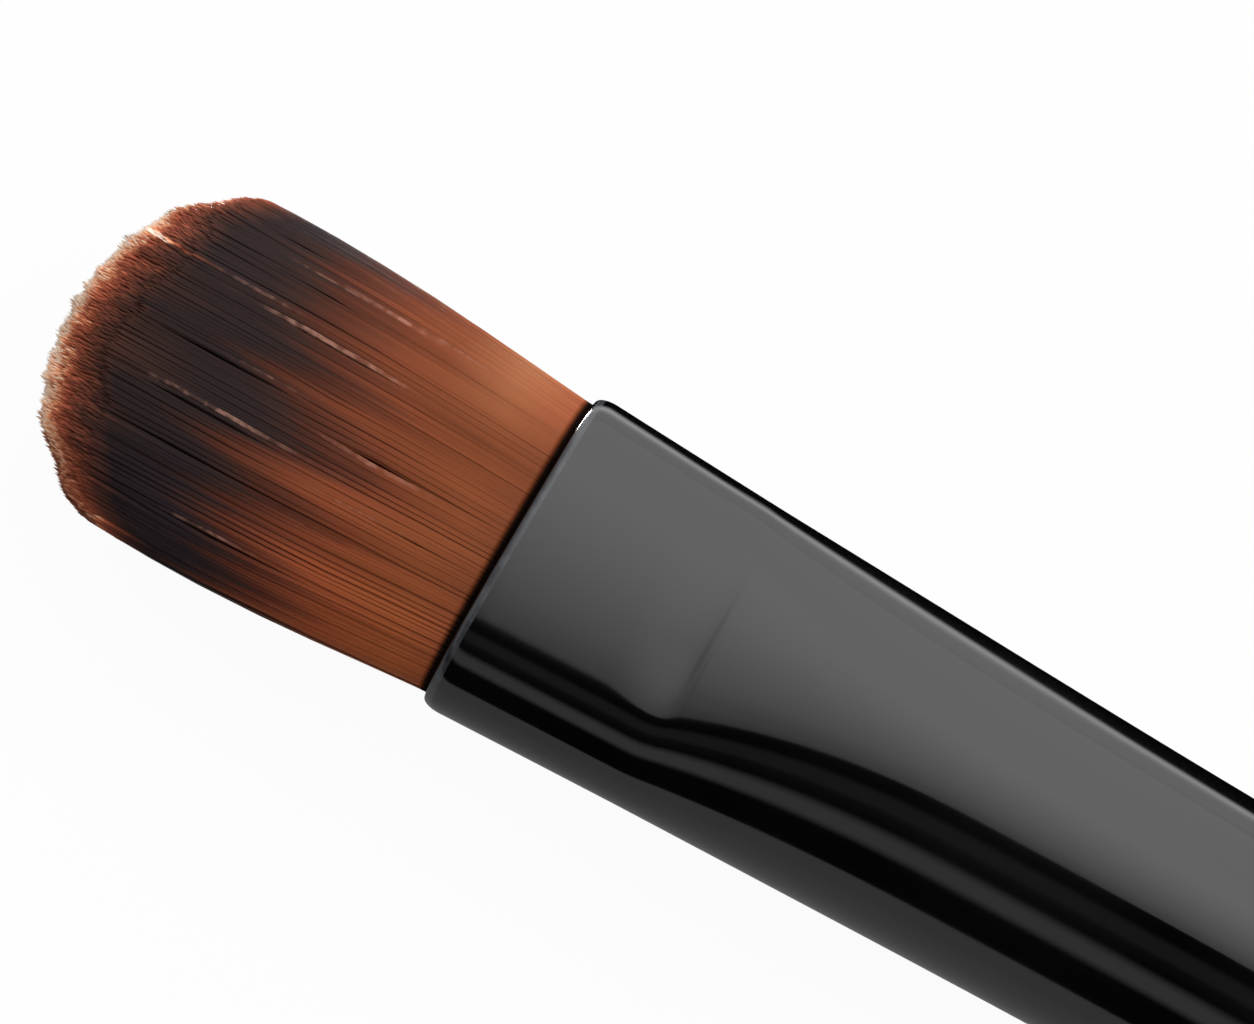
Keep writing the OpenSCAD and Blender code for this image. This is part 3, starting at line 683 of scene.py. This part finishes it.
def build_tuft(materials):
    """All filaments, in four layers, each filament with its own shade, girth and dye lines, and with
    painted light: lighter and tan-tinted edges, highlight runs and a few highlighted tips.
    """
    rng = np.random.default_rng(TUFT_SEED)
    paths = filament_paths(rng)
    d, y, z, across, up, out, set_back = paths
    count, y0, z0, wide = len(out), y[:, 0], z[:, 0], across[:, 0] * TUFT_W / 2
    streaks = np.random.default_rng(FIBRE_SEED)
    fibre = patches(streaks, y0[:, None] + 0 * d, d / 18, 0.13) * sway((d - 0.5) / 4)
    # Painted light: lighter edges, fading towards the tips and, on +Y, away from the mouth; the locks then
    # add darker and lighter tone to the upper face
    glow = hills(wide, PAINTED_EDGE_LIGHT)[:, None] * sway((out + set_back)[:, None] / 3 - d / 3)
    glow = glow * np.where(wide[:, None] > 0, 1 - 0.9 * sway((d - 0.5) / 4.5), 1)
    for at, start, end, change, breadth in LOCKS:
        lock = np.exp(-((y - at) / breadth) ** 2) * window(d, start, end)
        glow = glow + change * lock * (z0[:, None] > 0)
    # Painted highlights: runs along single filaments of the upper face
    sheen = 0 * d
    for at, start, end, strength in PAINTED_HIGHLIGHT_RUNS:
        sheen = sheen + strength * window(d, start, end) * (np.abs(y - at) < PAINTED_HIGHLIGHT_HALF) * (up > 0.93)
    own_shade = 1 + uneven(rng, y0, z0, SHADE_WAVES) + rng.normal(0, 0.025, count)
    painted_tip_highlight = (np.abs(y[:, -1] + 0.21 * z[:, -1] - PAINTED_TIP_HIGHLIGHT_AT) < 0.06) * (up[:, -1] > -0.2)
    near_mouth = sway((d - 0.6) / 1.5) * sway((5 - d) / 4)
    looks = {
        "shade": (1 + glow) * own_shade[:, None] * (1 + 0.06 * fibre),
        "girth": rng.uniform(GIRTH_FROM, GIRTH_TO, count),
        "drift": uneven(rng, y0, z0, DYE_WAVES) + rng.normal(0, 0.3, count) + hills(wide, DYE_LEADS),
        "tip_drift": (0.4 * sway((np.abs(across[:, 0]) - 0.5) / 0.4) + rng.normal(0, 0.1, count)
                      - PAINTED_TIP_HIGHLIGHT_BY * painted_tip_highlight),
        "sheen": sheen,
        # Painted light: the tan tint of the lit edges near the mouth
        "thin": 0.33 * np.maximum(glow, 0) * (wide[:, None] > 2) * near_mouth}
    layers = (("filaments_top", z0 > LAYER_LIMIT), ("filaments_upper", (z0 <= LAYER_LIMIT) & (z0 > 0)),
              ("filaments_lower", (z0 <= 0) & (z0 > -LAYER_LIMIT)), ("filaments_under", z0 <= -LAYER_LIMIT))
    return [build_filaments(name, paths, looks, keep, materials) for name, keep in layers]


# ---------------------------------------------------------------- the object

ferrule_lacquer = black_lacquer("baked_black_lacquer_on_aluminium", "#050506", 0.085)
handle_lacquer = black_lacquer("sprayed_black_lacquer_on_birch", "#060606", 0.085)
worn_edge_and_highlight = thin_lacquer_and_highlight("thin_lacquer_edge_with_painted_highlight")
filament = filament_material("dyed_pbt_filament", 0.14)
# A glossless copy of the filament for its first stretch in the mouth: a painted shadow of the lip
mouth_shadow_filament = filament_material("dyed_pbt_filament_in_painted_mouth_shadow", 0.0)
packed_filament = plain_grain("packed_filament_butts", "#4a2719", "#8a4d33", 0.1, {"Roughness": 0.6})
thread = plain_grain("waxed_polyester_thread", "#b9ab8b", "#ddd0b2", 0.08, {"Roughness": 0.65})
epoxy = plain_grain("cured_amber_epoxy", "#a87b2e", "#c9a45c", 0.9, {"Roughness": 0.12, "IOR": 1.55})

ferrule = build_ferrule([ferrule_lacquer, worn_edge_and_highlight])
handle = build_handle(handle_lacquer)
tuft = build_tuft([filament, mouth_shadow_filament])

for piece, nodes, slot in (
        (ferrule, ["ferrule"], "lacquered_metal"),
        (handle, ["handle"], "lacquered_wood"),
        *((layer, ["bristle_tuft"], "filament") for layer in tuft)):
    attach(piece, "root")
    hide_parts(*nodes)

for node, material in (("root_bundle", packed_filament), ("binding_thread", thread),
                       ("epoxy_plug", epoxy), ("tenon_adhesive", epoxy)):
    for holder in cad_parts[node].material_slots:
        holder.material = material

# ---------------------------------------------------------------- stage


def emitter(name):
    """A studio card: plain emission, whose strength varies over the card by an attribute."""
    material = new_material(name)
    glow = add_node(material, "ShaderNodeEmission", (), {"Strength": attribute(material, "strength")})
    add_node(material, "ShaderNodeOutputMaterial", (), {"Surface": glow.outputs[0]})
    return material


def seen_directly(holder):
    """1 for rays of the camera, of reflections and of transmission, which see the floor and the
    world as plain white, and 0 for those that light the object."""
    rays = add_node(holder, "ShaderNodeLightPath").outputs
    seen = rays["Is Camera Ray"]
    for kind in ("Is Glossy Ray", "Is Transmission Ray"):
        seen = add_node(holder, "ShaderNodeMath", {"operation": "MAXIMUM"},
                        {0: seen, 1: rays[kind]}).outputs[0]
    return seen


def card(name, path, strengths, stations, lights=False, kept=0):
    """A card drawn along X: path is (y, z) in metres, with a strength at each point. A station is x,
    a factor on the strengths, and a shift along Y of all points but the first ones, which are kept."""
    path, strengths = np.asarray(path, float), np.asarray(strengths, float)
    n = len(path)
    moved = np.arange(n) >= kept
    rows = np.concatenate([
        np.stack([np.full(n, x), path[:, 0] + shift * moved, path[:, 1]], -1) for x, _, shift in stations])
    i, k = np.meshgrid(np.arange(len(stations) - 1), np.arange(n - 1), indexing="ij")
    faces = np.stack([i * n + k, (i + 1) * n + k, (i + 1) * n + k + 1, i * n + k + 1], -1).reshape(-1, 4)
    ob = add_mesh(name, rows, [faces], [studio_card])
    add_attribute(ob, "strength", np.concatenate([strengths * factor for _, factor, _ in stations]))
    ob.visible_camera = False
    ob.visible_transmission = False
    ob.visible_diffuse = lights
    ob.visible_glossy = not lights
    ob.visible_shadow = False


# The cards are set out from the middle of the head. The key softbox drifts to -Y by this share of
# X, and its twin lights matt surfaces with a share of its strength. The world lights them with a
# strength of its own. The floor, seen directly, is nearly all plain white; half its size in metres
HEAD_X = (MOUTH_X + 3) * MM
KEY_SLANT, DIFFUSE_SHARE, WORLD_DIFFUSE = 0.083, 0.675, 0.4
FLOOR_GLOW, FLOOR_HALF = 0.95, 4.0
studio_card = emitter("studio_card")


def arc(radius, angles):
    """Points (y, z) on an arc round the brush; an angle is from the zenith towards -Y, in degrees."""
    a = np.radians(angles)
    return np.stack([-radius * np.sin(a), AXIS_Z * MM + radius * np.cos(a)], -1)


def plain(half_length):
    """Stations of a card that is the same all along."""
    return [(HEAD_X - half_length, 1, 0), (HEAD_X + half_length, 1, 0)]


key_path = arc(0.5, np.array([-90, -78, -68, -48, -30, -20, -12, 0, 7, 9.4]))
key_strengths = np.array([2.1, 2.4, 2.65, 2.85, 3.0, 2.7, 2.3, 1.62, 1.05, 1.0])
key_stations = [(HEAD_X + x, factor, -KEY_SLANT * x) for x, factor in
                ((-0.8, 0.45), (-0.55, 0.75), (-0.42, 0.95), (-0.32, 1), (0.6, 1))]
card("key_softbox", key_path, key_strengths, key_stations)
card("key_light", key_path, DIFFUSE_SHARE * key_strengths, key_stations, lights=True)
card("fill_strips", arc(0.45, np.array([9.5, 20, 23, 25, 33, 36, 46, 49, 53, 62, 66, 68])),
     [0, 0, 0.12, 0.16, 0.16, 0.05, 0.0, 0.3, 0.64, 0.64, 0.2, 0.0], plain(0.6))
card("black_flag", [(-0.065, 0.0), (-0.065, 0.031), (-0.4165, 0.176)], [0, 0, 0], plain(0.6))
# Glossy-only strips on the floor, which the ferrule reflects: they dim to nothing near the brush on -Y, a
# painted shadow of the brush, and carry bright bands on +Y
card("floor_strips", [(y * MM, 0.0001) for y in
                      (-65, -35, -13.5, -8.2, -5.6, -4, 0, 11.2, 12.2, 13.6, 15.4, 18.5, 24, 38, 80, 560)],
     [0.6, 0.57, 0.47, 0.35, 0.26, 0.2, 0.0, 0.0, 0.5, 1.5, 2.4, 1.75, 1.4, 1.6, 1.8, 1.9],
     [(-0.3, 1, 0), (MOUTH_X * MM, 1, 0), ((MOUTH_X + 17) * MM, 1, 3.4 * MM), (0.3, 1, 3.4 * MM)], kept=7)
card("glint_card", [(10.6 * MM, 0.0002), (12.2 * MM, 0.0002)], [150, 150],
     [(-80.0 * MM, 1, 0), (-72.7 * MM, 1, 0)])

floor_paint = new_material("pale_studio_floor")
share = add_node(floor_paint, "ShaderNodeMath", {"operation": "MULTIPLY", 1: FLOOR_GLOW},
                 {0: seen_directly(floor_paint)})
paper = add_node(floor_paint, "ShaderNodeBsdfDiffuse", {"Color": linear("#f2f2f2")})
glow = add_node(floor_paint, "ShaderNodeEmission", {"Strength": 1.0})
both = add_node(floor_paint, "ShaderNodeMixShader", (),
                {0: share.outputs[0], 1: paper.outputs[0], 2: glow.outputs[0]})
add_node(floor_paint, "ShaderNodeOutputMaterial", (), {"Surface": both.outputs[0]})

corners = [(x * FLOOR_HALF, y * FLOOR_HALF, 0) for x, y in ((-1, -1), (1, -1), (1, 1), (-1, 1))]
add_mesh("floor", corners, [np.array([[0, 1, 2, 3]])], [floor_paint])

world = bpy.data.worlds.new("studio")
bpy.context.scene.world = world
world.use_nodes = True
world.node_tree.nodes.clear()
level = add_node(world, "ShaderNodeMapRange", {"To Min": WORLD_DIFFUSE}, {"Value": seen_directly(world)})
sky = add_node(world, "ShaderNodeBackground", (), {"Strength": level.outputs[0]})
add_node(world, "ShaderNodeOutputWorld", (), {"Surface": sky.outputs[0]})

# ---------------------------------------------------------------- camera

# The camera looks down on the flat of the tuft, tilted to -Y and a little to the tail, with the
# brush's axis falling to the lower right. Angles in degrees, lengths in metres, the sensor in
# millimetres
VIEW_TILT, VIEW_TO_TAIL, AXIS_DROP = 12.0, 3.0, 29.8
CAMERA_DISTANCE, FRAME_WIDTH, SENSOR_WIDTH = 0.4, 33.0 * MM, 36.0
FRAME_RIGHT, FRAME_UP = 3.06 * MM, 0.98 * MM
tilt, to_tail, drop = (math.radians(v) for v in (VIEW_TILT, VIEW_TO_TAIL, AXIS_DROP))
back = Vector((math.sin(to_tail), -math.sin(tilt) * math.cos(to_tail), math.cos(tilt) * math.cos(to_tail)))
along = (Vector((1, 0, 0)) - back * back.x).normalized()
across = back.cross(along)
right = along * math.cos(drop) + across * math.sin(drop)
up = across * math.cos(drop) - along * math.sin(drop)
target = Vector((MOUTH_X, 0, AXIS_Z)) * MM + right * FRAME_RIGHT + up * FRAME_UP

camera_data = bpy.data.cameras.new("camera")
camera_data.sensor_width = SENSOR_WIDTH
camera_data.lens = SENSOR_WIDTH * CAMERA_DISTANCE / FRAME_WIDTH
camera_data.clip_start, camera_data.clip_end = 0.05, 20.0
camera = bpy.data.objects.new("camera", camera_data)
bpy.context.scene.collection.objects.link(camera)
turned = Matrix((right, up, back)).transposed().to_4x4()
camera.matrix_world = Matrix.Translation(target + back * CAMERA_DISTANCE) @ turned
bpy.context.scene.camera = camera
bpy.context.scene.view_settings.view_transform = "Standard"

bpy.context.view_layer.update()
